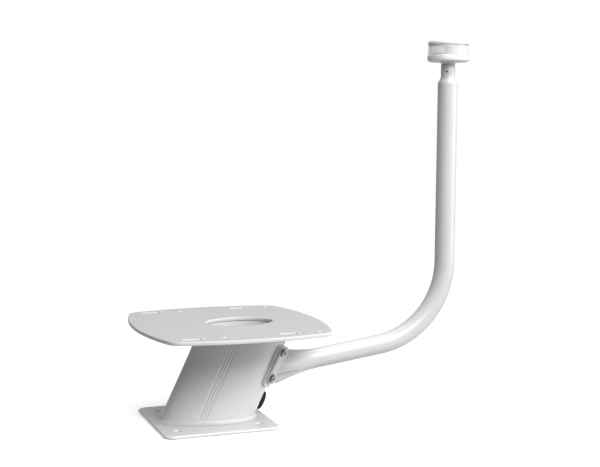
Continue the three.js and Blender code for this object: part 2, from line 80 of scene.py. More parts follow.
def aim(place, target):
    return (Vector(place) - Vector(target)).to_track_quat("Z", "Y")


def makeCamera(facts):
    around = math.radians(facts["azimuth"])
    up = math.radians(facts["elevation"])
    roll = math.radians(facts["roll"])
    back = Vector((math.sin(around) * math.cos(up), -math.cos(around) * math.cos(up), math.sin(up)))
    side = (-back).cross(Vector((0, 0, 1))).normalized()
    over = side.cross(-back)
    turnedSide = side * math.cos(roll) + over * math.sin(roll)
    turnedOver = over * math.cos(roll) - side * math.sin(roll)
    data = bpy.data.cameras.new("viewCamera")
    data.sensor_width = facts["sensor"]
    data.lens = facts["lens"]
    data.clip_end = 50
    camera = bpy.data.objects.new("viewCamera", data)
    turn = Matrix((turnedSide, turnedOver, back)).transposed().to_4x4()
    camera.matrix_world = Matrix.Translation(Vector(facts["place"]) * mm) @ turn
    stage.collection.objects.link(camera)
    stage.camera = camera


# Places and sizes in metres, power in watts
softboxes = [
    {"name": "keyLight", "place": (0.75, -2.0, 2.1), "size": (2.6, 2.0), "power": 112},
    {"name": "topLight", "place": (0.4, 0.4, 2.8), "size": (2.4, 2.4), "power": 26},
    {"name": "sideLight", "place": (2.2, -0.9, 0.6), "size": (1.2, 1.4), "power": 18},
]

# The middle of the tower, at which every light is aimed
litPlace = (0.1, 0, 0.2)


def makeLights():
    for box in softboxes:
        data = bpy.data.lights.new(box["name"], "AREA")
        data.shape = "RECTANGLE"
        data.size, data.size_y = box["size"]
        data.energy = box["power"]
        light = bpy.data.objects.new(box["name"], data)
        light.location = box["place"]
        light.rotation_euler = aim(box["place"], litPlace).to_euler()
        stage.collection.objects.link(light)


# A dark card off to the fore side, seen only in reflections
cardFacts = {"x": -1000, "yFrom": -1200, "yTo": 900, "zFrom": 250, "zTo": 1300,
             "stops": [(0.3, (0.05, 0.05, 0.052)), (0.7, (0.09, 0.09, 0.09))]}


def makeCard(facts):
    material, tree, shader = newFinish("darkCard", Roughness=0.9)
    cloth = grain(tree, 90, 2)
    shade = tones(tree, cloth.outputs[0], facts["stops"])
    tree.links.new(shade, shader.inputs["Base Color"])
    x, near, far, foot, top = (facts[key] for key in ("x", "yFrom", "yTo", "zFrom", "zTo"))
    card = makeObject("darkCard", [(x, near, foot), (x, far, foot), (x, far, top), (x, near, top)],
                      [(0, 1, 2, 3)])
    card.data.materials.append(material)
    card.visible_camera = False
    card.visible_shadow = False


skyFacts = {"paleSide": (0.75, -0.15, 0.3), "strength": 0.5,
            "stops": [(0.1, (0.6, 0.6, 0.61)), (0.55, (0.93, 0.94, 0.96))]}


# The camera sees plain white; every other ray sees a grey that pales to one side
def makeWorld(facts):
    world = bpy.data.worlds.new("studio")
    world.use_nodes = True
    tree = world.node_tree
    nodes, links = tree.nodes, tree.links
    nodes.clear()
    place = nodes.new("ShaderNodeTexCoord")
    facing = nodes.new("ShaderNodeVectorMath")
    facing.operation = "DOT_PRODUCT"
    facing.inputs[1].default_value = facts["paleSide"]
    links.new(place.outputs["Generated"], facing.inputs[0])
    shade = tones(tree, spread(tree, facing.outputs["Value"], 0, 1, -1, 1), facts["stops"])
    sky = nodes.new("ShaderNodeBackground")
    sky.inputs["Strength"].default_value = facts["strength"]
    links.new(shade, sky.inputs["Color"])
    backdrop = nodes.new("ShaderNodeBackground")
    backdrop.inputs["Color"].default_value = (1, 1, 1, 1)
    rays = nodes.new("ShaderNodeLightPath")
    pick = nodes.new("ShaderNodeMixShader")
    out = nodes.new("ShaderNodeOutputWorld")
    links.new(rays.outputs["Is Camera Ray"], pick.inputs[0])
    links.new(sky.outputs[0], pick.inputs[1])
    links.new(backdrop.outputs[0], pick.inputs[2])
    links.new(pick.outputs[0], out.inputs[0])
    stage.world = world


# ---- mesh helpers: every list of points is in millimetres ----

def makeObject(name, points, faces):
    mesh = bpy.data.meshes.new(name)
    mesh.from_pydata([Vector(p) * mm for p in points], [], faces)
    piece = bpy.data.objects.new(name, mesh)
    stage.collection.objects.link(piece)
    tidyMesh(mesh)
    return piece


def tidyMesh(mesh, weld=2e-6):
    shape = bmesh.new()
    shape.from_mesh(mesh)
    bmesh.ops.remove_doubles(shape, verts=shape.verts, dist=weld)
    bmesh.ops.dissolve_degenerate(shape, edges=shape.edges, dist=1e-7)
    bmesh.ops.recalc_face_normals(shape, faces=shape.faces)
    shape.to_mesh(mesh)
    shape.free()


def moved(piece, matrix):
    # matrix works in millimetres, and the mesh is in metres
    place = matrix.copy()
    place.translation = matrix.translation * mm
    piece.data.transform(place)
    return piece


# Rings of equal count joined by quads; loop joins the last ring to the first
def loft(name, rings, loop=False):
    count = len(rings[0])
    points = [p for ring in rings for p in ring]
    faces = []
    last = len(rings) if loop else len(rings) - 1
    for i in range(last):
        a, b = i * count, ((i + 1) % len(rings)) * count
        for j in range(count):
            k = (j + 1) % count
            faces.append((a + j, a + k, b + k, b + j))
    if not loop:
        faces.append(tuple(reversed(range(count))))
        faces.append(tuple(range(last * count, last * count + count)))
    return makeObject(name, points, faces)


# Each corner of a profile becomes a small arc
def softened(profile, radius, closed=False, steps=4):
    count = len(profile)
    soft = []
    for i, corner in enumerate(profile):
        if not closed and i in (0, count - 1):
            soft.append(tuple(corner))
            continue
        corner = Vector(corner)
        before = Vector(profile[i - 1]) - corner
        after = Vector(profile[(i + 1) % count]) - corner
        reach = min(radius, before.length * 0.45, after.length * 0.45)
        start = corner + before.normalized() * reach
        end = corner + after.normalized() * reach
        for k in range(steps + 1):
            t = k / steps
            soft.append(tuple(start * (1 - t) ** 2 + corner * 2 * t * (1 - t) + end * t ** 2))
    return soft


# A body of revolution about Z; a closed profile makes a ring
def turned(name, profile, centre=(0, 0), facets=96, closed=False):
    rings = []
    for radius, height in profile:
        rings.append([(centre[0] + radius * math.cos(fullTurn * k / facets),
                       centre[1] + radius * math.sin(fullTurn * k / facets), height)
                      for k in range(facets)])
    return loft(name, rings, loop=closed)


def pillar(radius, low, high, facets=48):
    profile = [(radius, low), (radius, high)]
    return turned("cutter", profile, facets=facets)


def carve(piece, cutters):
    for cutter in cutters:
        cut = piece.modifiers.new("cut", "BOOLEAN")
        cut.operation = "DIFFERENCE"
        cut.solver = "EXACT"
        cut.object = cutter
    applyAll(piece)
    for cutter in cutters:
        bpy.data.objects.remove(cutter)
    return piece


def applyAll(piece):
    drawn = piece.evaluated_get(bpy.context.evaluated_depsgraph_get())
    mesh = bpy.data.meshes.new_from_object(drawn)
    mesh.name = piece.name
    piece.modifiers.clear()
    piece.data = mesh


def joined(name, pieces):
    shape = bmesh.new()
    for piece in pieces:
        shape.from_mesh(piece.data)
        bpy.data.objects.remove(piece)
    mesh = bpy.data.meshes.new(name)
    shape.to_mesh(mesh)
    shape.free()
    whole = bpy.data.objects.new(name, mesh)
    stage.collection.objects.link(whole)
    return whole


# A piece wears the finish of its slot unless another is named
def finishPiece(piece, body, slotName, node, crease=32, finish=None):
    piece.data.materials.clear()
    piece.data.materials.append(finishes[finish or slotName])
    piece.data.shade_smooth()
    piece.data.set_sharp_from_angle(angle=math.radians(crease))
    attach(piece, body)
    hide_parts(node)


# ---- outlines, all run counter-clockwise ----

def arcPoints(x, y, radius, start, end, steps):
    return [(x + radius * math.cos(start + (end - start) * k / steps),
             y + radius * math.sin(start + (end - start) * k / steps)) for k in range(steps + 1)]


def circlePoints(x, y, radius, count=40):
    return arcPoints(x, y, radius, 0, fullTurn, count)[:-1]


def ovalPoints(x, y, halfLength, halfWidth, count=96):
    return [(x + halfLength * math.cos(fullTurn * k / count),
             y + halfWidth * math.sin(fullTurn * k / count)) for k in range(count)]


def slotPoints(x, y, length, radius, steps=14):
    reach = length / 2 - radius
    return (arcPoints(x + reach, y, radius, -quarter, quarter, steps)
            + arcPoints(x - reach, y, radius, quarter, 3 * quarter, steps))


def roundedRectangle(halfX, halfY, corner, steps=14):
    x, y = halfX - corner, halfY - corner
    points = arcPoints(x, y, corner, 0, quarter, steps)
    points += arcPoints(-x, y, corner, quarter, 2 * quarter, steps)
    points += arcPoints(-x, -y, corner, 2 * quarter, 3 * quarter, steps)
    return points + arcPoints(x, -y, corner, 3 * quarter, 4 * quarter, steps)


# Moves a closed outline's points along its inward normals
def inset(points, distance):
    count = len(points)
    result = []
    for i, (x, y) in enumerate(points):
        ax, ay = points[i - 1]
        bx, by = points[(i + 1) % count]
        along = Vector((bx - ax, by - ay)).normalized()
        result.append((x - along.y * distance, y + along.x * distance))
    return result


# A flat plate with holes, whose edges are all rounded over. The margin is a narrow level
# band inside each rounding, which keeps the shading of the wide faces flat.
def plateShape(name, outer, holes, thickness, edge, upperEdge=None, steps=4, margin=0.3):
    turns = [quarter * k / steps for k in range(steps + 1)]
    crown = upperEdge or edge
    profile = [(edge + margin, 0)]
    profile += [(edge * (1 - math.sin(a)), edge * (1 - math.cos(a))) for a in turns]
    profile += [(crown * (1 - math.sin(a)), thickness - crown * (1 - math.cos(a)))
                for a in reversed(turns)]
    profile.append((crown + margin, thickness))
    points, faces, caps = [], [], {0: [], len(profile) - 1: []}
    for loopNumber, outline in enumerate([outer, *holes]):
        sign = 1 if loopNumber == 0 else -1
        starts = []
        for level, (depth, height) in enumerate(profile):
            starts.append(len(points))
            ring = [(x, y, height) for x, y in inset(outline, sign * depth)]
            points += ring
            if level in caps:
                caps[level].append((starts[-1], [Vector(p) for p in ring]))
        for a, b in zip(starts, starts[1:]):
            for j in range(len(outline)):
                k = (j + 1) % len(outline)
                faces.append((a + j, a + k, b + k, b + j))
    for loops in caps.values():
        index = [start + k for start, ring in loops for k in range(len(ring))]
        for triangle in tessellate_polygon([ring for start, ring in loops]):
            faces.append(tuple(index[k] for k in triangle))
    return makeObject(name, points, faces)


# ---- finishes ----

# How deep the fine skin of a coat or moulding is, in metres
skinDepth = 0.00012


def newFinish(name, **sockets):
    material = bpy.data.materials.new(name)
    material.use_nodes = True
    tree = material.node_tree
    tree.nodes.clear()
    out = tree.nodes.new("ShaderNodeOutputMaterial")
    shader = tree.nodes.new("ShaderNodeBsdfPrincipled")
    tree.links.new(shader.outputs[0], out.inputs[0])
    for socket, value in sockets.items():
        shader.inputs[socket.replace("_", " ")].default_value = value
    return material, tree, shader


def grain(tree, scale, detail=3, stretch=(1, 1, 1)):
    place = tree.nodes.new("ShaderNodeTexCoord")
    fit = tree.nodes.new("ShaderNodeMapping")
    fit.inputs["Scale"].default_value = stretch
    texture = tree.nodes.new("ShaderNodeTexNoise")
    texture.inputs["Scale"].default_value = scale
    texture.inputs["Detail"].default_value = detail
    tree.links.new(place.outputs["Object"], fit.inputs[0])
    tree.links.new(fit.outputs[0], texture.inputs["Vector"])
    return texture


def spread(tree, source, low, high, fromLow=0.3, fromHigh=0.7):
    node = tree.nodes.new("ShaderNodeMapRange")
    node.inputs["From Min"].default_value = fromLow
    node.inputs["From Max"].default_value = fromHigh
    node.inputs["To Min"].default_value = low
    node.inputs["To Max"].default_value = high
    tree.links.new(source, node.inputs["Value"])
    return node.outputs[0]


def tones(tree, source, stops):
    ramp = tree.nodes.new("ShaderNodeValToRGB")
    elements = ramp.color_ramp.elements
    while len(elements) < len(stops):
        elements.new(0.5)
    for element, (position, colour) in zip(elements, stops):
        element.position = position
        element.color = (*colour, 1)
    tree.links.new(source, ramp.inputs[0])
    return ramp.outputs[0]


def relief(tree, shader, source, strength, distance):
    bump = tree.nodes.new("ShaderNodeBump")
    bump.inputs["Strength"].default_value = strength
    bump.inputs["Distance"].default_value = distance
    tree.links.new(source.outputs[0], bump.inputs["Height"])
    tree.links.new(bump.outputs[0], shader.inputs["Normal"])


# A finish's colour, and its roughness, which runs from low to high with a pattern
def dress(tree, shader, colour, pattern, roughness):
    tree.links.new(colour, shader.inputs["Base Color"])
    tree.links.new(spread(tree, pattern.outputs[0], *roughness), shader.inputs["Roughness"])


# Painted shade: a darker tone on faces that look straight up, over the tone of the sides, standing
# in for the weaker light that falls on the tops
def paintedShadeOnTops(tree, side, colour):
    surface = tree.nodes.new("ShaderNodeNewGeometry")
    axes = tree.nodes.new("ShaderNodeSeparateXYZ")
    tree.links.new(surface.outputs["Normal"], axes.inputs[0])
    mix = tree.nodes.new("ShaderNodeMix")
    mix.data_type = "RGBA"
    tree.links.new(spread(tree, axes.outputs["Z"], 0, 1, 0.75, 0.9), mix.inputs["Factor"])
    tree.links.new(side, mix.inputs["A"])
    mix.inputs["B"].default_value = (*colour, 1)
    return mix.outputs["Result"]


# Powder coat: orange-peel skin, faint drifts of tone, rubbed patches and a few dust specks, and
# painted shade on faces that look up wherever a shaded top colour is given
def powderCoat(name, colour, roughness, peel=0.1, dirt=0.02, shadedTopColour=None):
    material, tree, shader = newFinish(name, Coat_Weight=0.2, Coat_Roughness=0.12, IOR=1.45)
    drift = grain(tree, 5, 2)
    specks = grain(tree, 520, 2)
    rubbed = grain(tree, 16, 5, stretch=(1, 1, 2.2))
    skin = grain(tree, 900, 2)
    worn = tuple(c * (1 - dirt) for c in colour)
    warm = (colour[0] * (1 - dirt * 0.9), colour[1] * (1 - dirt), colour[2] * (1 - dirt * 1.25))
    base = tones(tree, drift.outputs[0], [(0.3, warm), (0.52, colour), (0.75, worn)])
    # Painted shade: upward faces take the darker top colour
    if shadedTopColour:
        base = paintedShadeOnTops(tree, base, shadedTopColour)
    spot = tones(tree, specks.outputs[0], [(0.2, (0.45, 0.44, 0.42)), (0.255, (1, 1, 1))])
    mix = tree.nodes.new("ShaderNodeMix")
    mix.data_type = "RGBA"
    mix.blend_type = "MULTIPLY"
    mix.inputs["Factor"].default_value = 0.5
    tree.links.new(base, mix.inputs["A"])
    tree.links.new(spot, mix.inputs["B"])
    dress(tree, shader, mix.outputs["Result"], rubbed, roughness)
    relief(tree, shader, skin, peel, skinDepth)
    return material


def mouldedPlastic(name, colour, roughness, skinScale=900, skinStrength=0.12, **sockets):
    material, tree, shader = newFinish(name, **sockets)
    drift = grain(tree, 30, 3)
    skin = grain(tree, skinScale, 2)
    rubbed = grain(tree, 70, 5)
    darker = tuple(c * 0.93 for c in colour)
    base = tones(tree, drift.outputs[0], [(0.35, darker), (0.6, colour)])
    dress(tree, shader, base, rubbed, roughness)
    relief(tree, shader, skin, skinStrength, skinDepth)
    return material


# Machined metal: fine turning lines stretched across the grain, and smears in the polish
def machinedMetal(name, colour, roughness, lines=(900, 900, 90)):
    material, tree, shader = newFinish(name, Metallic=1.0, IOR=2.4)
    drift = grain(tree, 120, 4)
    scratch = grain(tree, 1, 3, stretch=lines)
    darker = (colour[0] * 0.82, colour[1] * 0.79, colour[2] * 0.75)
    base = tones(tree, drift.outputs[0], [(0.36, darker), (0.62, colour)])
    dress(tree, shader, base, scratch, roughness)
    relief(tree, shader, scratch, 0.15, 0.00008)
    return material


def clearMoulding(name):
    material, tree, shader = newFinish(
        name, IOR=1.49, Alpha=0.34, Coat_Weight=0.6, Coat_Roughness=0.04)
    haze = grain(tree, 60, 3)
    flow = grain(tree, 26, 2, stretch=(1, 1, 4))
    tint = tones(tree, haze.outputs[0], [(0.35, (0.90, 0.92, 0.94)), (0.65, (0.97, 0.98, 0.99))])
    dress(tree, shader, tint, haze, (0.03, 0.12))
    relief(tree, shader, flow, 0.12, 0.0004)
    return material


finishes = {
    "white_coat": powderCoat("whitePowderCoat", (0.64, 0.642, 0.65), (0.27, 0.31)),
    # The arm wears the same white coat painted darker, which is painted shade that tones down the
    # strong light on the arm
    "arm_coat_painted_shade": powderCoat("armPowderCoatPaintedShade", (0.53, 0.532, 0.54), (0.28, 0.33)),
    # The top plate's coat carries painted shade on its upward faces, which are darker than its
    # edges
    "plate_coat": powderCoat("platePowderCoat", (0.57, 0.57, 0.575), (0.5, 0.6), peel=0.2,
                             shadedTopColour=(0.43, 0.43, 0.432)),
    "weld": powderCoat("coatedWeld", (0.62, 0.622, 0.63), (0.22, 0.32), peel=0.2),
    "grey_nylon": mouldedPlastic("greyNylon", (0.66, 0.665, 0.675), (0.42, 0.6), 500, 0.25),
    "stainless": machinedMetal("polishedStainless", (0.22, 0.21, 0.19), (0.2, 0.4)),
    "aluminium": machinedMetal("plainAluminium", (0.74, 0.75, 0.76), (0.25, 0.45)),
    "black_rubber": mouldedPlastic("blackRubber", (0.008, 0.008, 0.009), (0.55, 0.75), 700, 0.35,
                                   Specular_IOR_Level=0.25),
    "clear_lens": clearMoulding("clearLens"),
    "white_plastic": mouldedPlastic("whitePlastic", (0.76, 0.765, 0.77), (0.26, 0.4),
                                    Coat_Weight=0.3, Coat_Roughness=0.1),
    "cap_plastic": mouldedPlastic("capPlastic", (0.74, 0.745, 0.755), (0.14, 0.28),
                                  Coat_Weight=0.5, Coat_Roughness=0.05),
    "circuit_board": mouldedPlastic("boardMask", (0.66, 0.70, 0.66), (0.35, 0.5), 1200, 0.3),
    "light_source": mouldedPlastic("phosphor", (0.90, 0.78, 0.34), (0.2, 0.35), 1500, 0.2),
    "reflector": mouldedPlastic("reflectorPlastic", (0.88, 0.88, 0.88), (0.08, 0.2),
                                Coat_Weight=0.6, Coat_Roughness=0.04),
}
print("finishes made:", len(finishes))


# The CAD nodes that stay in view take the finish of their own slot
def dressNodes():
    for part in frame["record"]["subparts"]:
        node = frame["nodes"][part["node"]]
        node.data.materials.clear()
        node.data.materials.append(finishes[part["material_slot"]])


# ---- plates ----

baseFacts = {"corner": 14.5, "holeX": 63, "holeY": 62, "holeRadius": 4.5,
             "entryX": 38, "entryRadius": 20, "edge": 1.4, "upperEdge": 2.6}


def makeBasePlate(facts):
    low, high = cadSpan("base_plate")
    outer = roundedRectangle(high.x, high.y, facts["corner"])
    holes = [circlePoints(x * facts["holeX"], y * facts["holeY"], facts["holeRadius"])
             for x in (-1, 1) for y in (-1, 1)]
    holes.append(circlePoints(facts["entryX"], 0, facts["entryRadius"], 72))
    plate = plateShape("basePlate", outer, holes, high.z - low.z, facts["edge"],
                       facts["upperEdge"])
    finishPiece(plate, "tower", "white_coat", "base_plate")


plateFacts = {"halfLength": 143, "halfWidth": 149, "endRadius": 400, "sideRadius": 440,
              "corner": 24, "edge": 1.5, "openingX": 51, "openingHalfLength": 52,
              "openingHalfWidth": 37, "holeRadius": 3.5, "holeRow": 121,
              "holeOffsets": (-70.5, -39, 73.5, 106), "slotOffsets": (-88.5, 56),
              "slotLength": 27}


# Four convex sides that run into each other through corner arcs
def cushionOutline(facts):
    endX = facts["halfLength"] - facts["endRadius"]
    sideY = facts["halfWidth"] - facts["sideRadius"]
    fromEnd = facts["endRadius"] - facts["corner"]
    fromSide = facts["sideRadius"] - facts["corner"]
    apart = math.hypot(endX, sideY)
    opening = math.acos((fromEnd ** 2 + apart ** 2 - fromSide ** 2) / (2 * fromEnd * apart))
    endAngle = math.atan2(sideY, -endX) + opening
    x = endX + fromEnd * math.cos(endAngle)
    y = fromEnd * math.sin(endAngle)
    sideAngle = math.atan2(y - sideY, x)
    corner, ends, sides = facts["corner"], facts["endRadius"], facts["sideRadius"]
    arcs = [
        (endX, 0, ends, -endAngle, endAngle, 40),
        (x, y, corner, endAngle, sideAngle, 16),
        (0, sideY, sides, sideAngle, halfTurn - sideAngle, 40),
        (-x, y, corner, halfTurn - sideAngle, halfTurn - endAngle, 16),
        (-endX, 0, ends, halfTurn - endAngle, halfTurn + endAngle, 40),
        (-x, -y, corner, halfTurn + endAngle, halfTurn + sideAngle, 16),
        (0, -sideY, sides, halfTurn + sideAngle, fullTurn - sideAngle, 40),
        (x, -y, corner, fullTurn - sideAngle, fullTurn - endAngle, 16),
    ]
    return [point for arc in arcs for point in arcPoints(*arc)[:-1]]


def makeTopPlate(facts):
    low, high = cadSpan("top_plate")
    middle = (low.x + high.x) / 2
    row = facts["holeRow"]
    holes = [circlePoints(x, side * row, facts["holeRadius"], 32)
             for side in (-1, 1) for x in facts["holeOffsets"]]
    holes += [slotPoints(x, side * row, facts["slotLength"], facts["holeRadius"])
              for side in (-1, 1) for x in facts["slotOffsets"]]
    holes.append(ovalPoints(facts["openingX"] - middle, 0, facts["openingHalfLength"],
                            facts["openingHalfWidth"], 120))
    plate = plateShape("topPlate", cushionOutline(facts), holes, high.z - low.z, facts["edge"])
    moved(plate, Matrix.Translation((middle, 0, low.z)))
    finishPiece(plate, "tower", "plate_coat", "top_plate")


# ---- column and welds ----

# How far a cutter runs on past the faces that it opens
overcut = 20

columnFacts = {
    "x": 15.5, "noseRadius": 48, "foreLength": 85.5, "fullness": 0.5, "wall": 4, "neckDepth": 16,
    "grooveOffsets": (-20.3, -24.2, -28.1), "grooveWidth": 0.8, "grooveDepth": 0.35,
    "grooveFloor": 0.55, "grooveClear": 0.25,
    "portHeight": 58.6, "portHalfWidth": 8, "portHalfHeight": 11.5, "portDepth": 12,
}


def foreSide(facts, drop, count=60):
    half = facts["noseRadius"] - drop
    tip = facts["x"] - facts["foreLength"] + drop
    reach = (facts["x"] - tip) * facts["fullness"]
    rise = half * facts["fullness"]
    corners = [(facts["x"], half), (facts["x"] - reach, half), (tip, rise), (tip, 0)]
    points = []
    for k in range(count + 1):
        t = k / count
        weights = ((1 - t) ** 3, 3 * t * (1 - t) ** 2, 3 * t * t * (1 - t), t ** 3)
        points.append(tuple(sum(w * c[axis] for w, c in zip(weights, corners)) for axis in (0, 1)))
    return points


# The section square to the raked axis, counter-clockwise from the middle of the nose
def sectionOutline(facts, drop=0.0, grooved=False):
    side = foreSide(facts, drop)
    if grooved:
        side = withGrooves(facts, side)
    nose = arcPoints(facts["x"], 0, facts["noseRadius"] - drop, 0, quarter, 40)[:-1]
    upper = nose + side
    lower = [(x, -y) for x, y in reversed(upper[1:-1])]
    return upper + lower


def withGrooves(facts, side):
    result = list(side)
    half = facts["grooveWidth"] / 2
    floor = half * facts["grooveFloor"]
    for offset in facts["grooveOffsets"]:
        result = [p for p in result if abs(p[0] - offset) > half + facts["grooveClear"]]
        wall = next(p for p in side if p[0] < offset)[1]
        for shift, depth in ((half, 0), (floor, 1), (-floor, 1), (-half, 0)):
            result.append((offset + shift, wall - depth * facts["grooveDepth"]))
    return sorted(result, key=lambda p: (-p[0], -p[1]))


# The section is cut level, so it is longer along X and slides aft as it rises
def levelRing(outline, height, out=0.0):
    level = inset([(x / math.cos(rakeAngle), y) for x, y in outline], -out)
    return [(x + height * math.tan(rakeAngle), y, height) for x, y in level]


def portCutter(halfWidth, halfHeight, inner, outer, count=64):
    rings = []
    for x in (inner, outer):
        rings.append([(columnFacts["x"] + x, halfWidth * math.cos(fullTurn * k / count),
                       columnFacts["portHeight"] + halfHeight * math.sin(fullTurn * k / count))
                      for k in range(count)])
    return moved(loft("cutter", rings), raked)


def makeColumn(facts):
    low, high = cadSpan("column")
    outside = sectionOutline(facts, grooved=True)
    inside = sectionOutline(facts, drop=facts["wall"])
    skin = loft("column", [levelRing(outside, low.z), levelRing(outside, high.z)])
    ledge = high.z - facts["neckDepth"]
    hollow = loft("cutter", [levelRing(inside, low.z - overcut), levelRing(inside, ledge)])
    top = plateFacts
    throat = ovalPoints(top["openingX"], 0, top["openingHalfLength"], top["openingHalfWidth"], 120)
    neck = loft("cutter", [[(x, y, z) for x, y in throat] for z in (ledge - 1, high.z + overcut)])
    nose = facts["noseRadius"]
    port = portCutter(facts["portHalfWidth"], facts["portHalfHeight"],
                      nose - facts["portDepth"], nose + overcut)
    carve(skin, [hollow, neck, port])
    finishPiece(skin, "tower", "white_coat", "column", crease=24)


weldFacts = {"leg": 6.5, "ripple": 0.15, "rippleScale": 0.35, "rootGap": 0.02, "steps": 12}


# A smoothed fillet weld round the column; rise is 1 above the base and -1 under the top plate
def makeWeld(name, node, level, rise, facts):
    outline = sectionOutline(columnFacts)
    leg = facts["leg"]
    profile = [(leg * (1 - math.sin(quarter * k / facts["steps"])),
                leg * (1 - math.cos(quarter * k / facts["steps"])))
               for k in range(facts["steps"] + 1)]
    profile.append((facts["rootGap"], 0))
    rings = []
    for out, height in profile:
        ring = []
        for x, y, z in levelRing(outline, level + rise * height, out):
            wobble = noise.noise(Vector((x, y, z)) * facts["rippleScale"]) * facts["ripple"]
            share = 4 * (out / leg) * (1 - out / leg)
            ring.append((x, y, z + rise * wobble * share))
        rings.append(ring)
    weld = loft(name, rings, loop=True)
    finishPiece(weld, "tower", "weld", node, crease=50)


# ---- saddle joint ----

jointFacts = {
    "padLow": 82.5, "padHigh": 150.2, "padThickness": 4.2, "padSpread": 58,
    "flangeLow": 89, "flangeHigh": 150.2, "flangeThickness": 4.2, "flangeSpread": 57,
    "corner": 9, "gap": 0.3, "edge": 0.8, "flangeRound": 3.2, "strips": 44,
    "boltLower": 98.5, "boltUpper": 141.2, "boltAngle": 49.5, "boltHole": 3.3,
    "seatDepth": 1.6, "washerRoom": 7.4, "washerReach": 50,
}
padInner = columnFacts["noseRadius"] + jointFacts["gap"]
flangeInner = padInner + jointFacts["padThickness"] + jointFacts["gap"]
flangeOuter = flangeInner + jointFacts["flangeThickness"]
seatRadius = flangeOuter - jointFacts["seatDepth"]
# Each bolt's label, its side of the XZ plane and its height up the raked axis
boltPlaces = [(f"{level}_{side}", sign, jointFacts[key])
              for level, key in (("lower", "boltLower"), ("upper", "boltUpper"))
              for side, sign in (("near", -1), ("far", 1))]


# A flat plate sliced into strips and then bent round the column's nose
def saddleShape(name, low, high, thickness, spreadAngle, inner, holes=(), upperEdge=None):
    reach = inner * math.radians(spreadAngle)
    middle = (low + high) / 2
    outer = roundedRectangle(reach, (high - low) / 2, jointFacts["corner"])
    loops = [circlePoints(sign * inner * math.radians(jointFacts["boltAngle"]),
                          height - middle, radius, 36) for sign, height, radius in holes]
    plate = plateShape(name, outer, loops, thickness, jointFacts["edge"], upperEdge)
    shape = bmesh.new()
    shape.from_mesh(plate.data)
    strips = jointFacts["strips"]
    for k in range(1, strips):
        x = reach * (2 * k / strips - 1) * mm
        everything = [*shape.verts, *shape.edges, *shape.faces]
        bmesh.ops.bisect_plane(shape, geom=everything, plane_co=(x, 0, 0), plane_no=(1, 0, 0))
    for vert in shape.verts:
        turn = vert.co.x / (inner * mm)
        radius = inner * mm + vert.co.z
        vert.co = Vector((columnFacts["x"] * mm + radius * math.cos(turn),
                          radius * math.sin(turn), vert.co.y + middle * mm))
    bmesh.ops.recalc_face_normals(shape, faces=shape.faces)
    shape.to_mesh(plate.data)
    shape.free()
    return moved(plate, raked)


def makeSaddlePad(facts):
    holes = [(sign, height, facts["boltHole"]) for _, sign, height in boltPlaces]
    pad = saddleShape("saddlePad", facts["padLow"], facts["padHigh"], facts["padThickness"],
                      facts["padSpread"], padInner, holes)
    finishPiece(pad, "tower", "grey_nylon", "saddle_pad", crease=40)


# A cutter that stands along one bolt, between two distances from the nose's centre
def boltCutter(radius, inner, outer, sign, height):
    cutter = pillar(radius, inner, outer)
    moved(cutter, zToX)
    return moved(cutter, boltPlace(sign, height))


def boltPlace(sign, height):
    turn = Matrix.Rotation(sign * math.radians(jointFacts["boltAngle"]), 4, "Z")
    return raked @ Matrix.Translation((columnFacts["x"], 0, height)) @ turn


# ---- light arm ----

armFacts = {
    "tubeRadius": 16, "rootLength": 68, "rootStart": -42, "blendStart": 58,
    "overFrom": -14, "overTo": 62, "overGrowth": 15.5, "overPower": 1.7,
    "underFrom": -14, "underTo": 50, "underGrowth": 8.6, "underPower": 1.4,
    "halfWidth": 38, "widthFrom": -30, "widthTo": 64, "endTaper": 0.002, "rootClear": 0.6,
    "scoopLength": 52, "scoopWide": 10.5, "scoopNarrow": 2, "scoopIn": 19,
    "scoopStarts": {"lower": (-32, 42, -12), "upper": (-10, 42, 27)},
    "scoopRises": {"lower": 5, "upper": -9},
    "voxel": 0.8, "smoothing": 4, "bendRadius": 132.8, "bendZ": 230.9, "tubeX": 403,
    "ringHeights": (280, 340, 400, 460, 505),
    "swageLow": 518, "swageHigh": 529, "neckRadius": 11.3, "neckTop": 549.6,
    "screwHeight": 537, "screwAngle": -126, "screwHole": 1.55, "screwSink": 2.2,
}


# From 0 to 1, slow at both ends
def eased(t):
    t = min(max(t, 0), 1)
    return t * t * (3 - 2 * t)


def rootHeight(along, side, facts):
    low, high = facts[side + "From"], facts[side + "To"]
    t = min(max((high - along) / (high - low), 0), 1)
    return facts["tubeRadius"] + facts[side + "Growth"] * t ** facts[side + "Power"]


def rootWidth(along, facts):
    share = eased((along - facts["widthFrom"]) / (facts["widthTo"] - facts["widthFrom"]))
    return facts["halfWidth"] + (facts["tubeRadius"] - facts["halfWidth"]) * share


# Oval rings that grow from the tube's end towards the column, in the arm's own frame
def flaredRoot(facts, count=72, steps=34):
    rings = []
    start = facts["rootStart"]
    length = facts["rootLength"] - start
    for i in range(steps + 1):
        along = start + length * i / steps
        over = rootHeight(along, "over", facts)
        under = rootHeight(along, "under", facts)
        wide = rootWidth(along, facts)
        shrink = 1 - facts["endTaper"] * max(along - facts["blendStart"], 0)
        ring = []
        for k in range(count):
            turn = fullTurn * k / count
            tall = over if math.sin(turn) > 0 else under
            ring.append((along, shrink * wide * math.cos(turn), shrink * tall * math.sin(turn)))
        rings.append(ring)
    return moved(loft("root", rings), alongArm)


# A tapered hollow that runs from a bolt along the root, so that the bolt can be reached
def scoopCutter(name, sign, facts):
    level = name.split("_")[0]
    profile = [(facts["scoopWide"], 0), (facts["scoopNarrow"], facts["scoopLength"])]
    cutter = turned("cutter", profile, facets=40)
    moved(cutter, zToX)
    turn = Matrix.Rotation(math.radians(-facts["scoopRises"][level]), 4, "Y")
    turn = turn @ Matrix.Rotation(math.radians(-sign * facts["scoopIn"]), 4, "Z")
    along, aside, above = facts["scoopStarts"][level]
    place = Matrix.Translation((along, sign * aside, above))
    return moved(cutter, alongArm @ place @ turn)


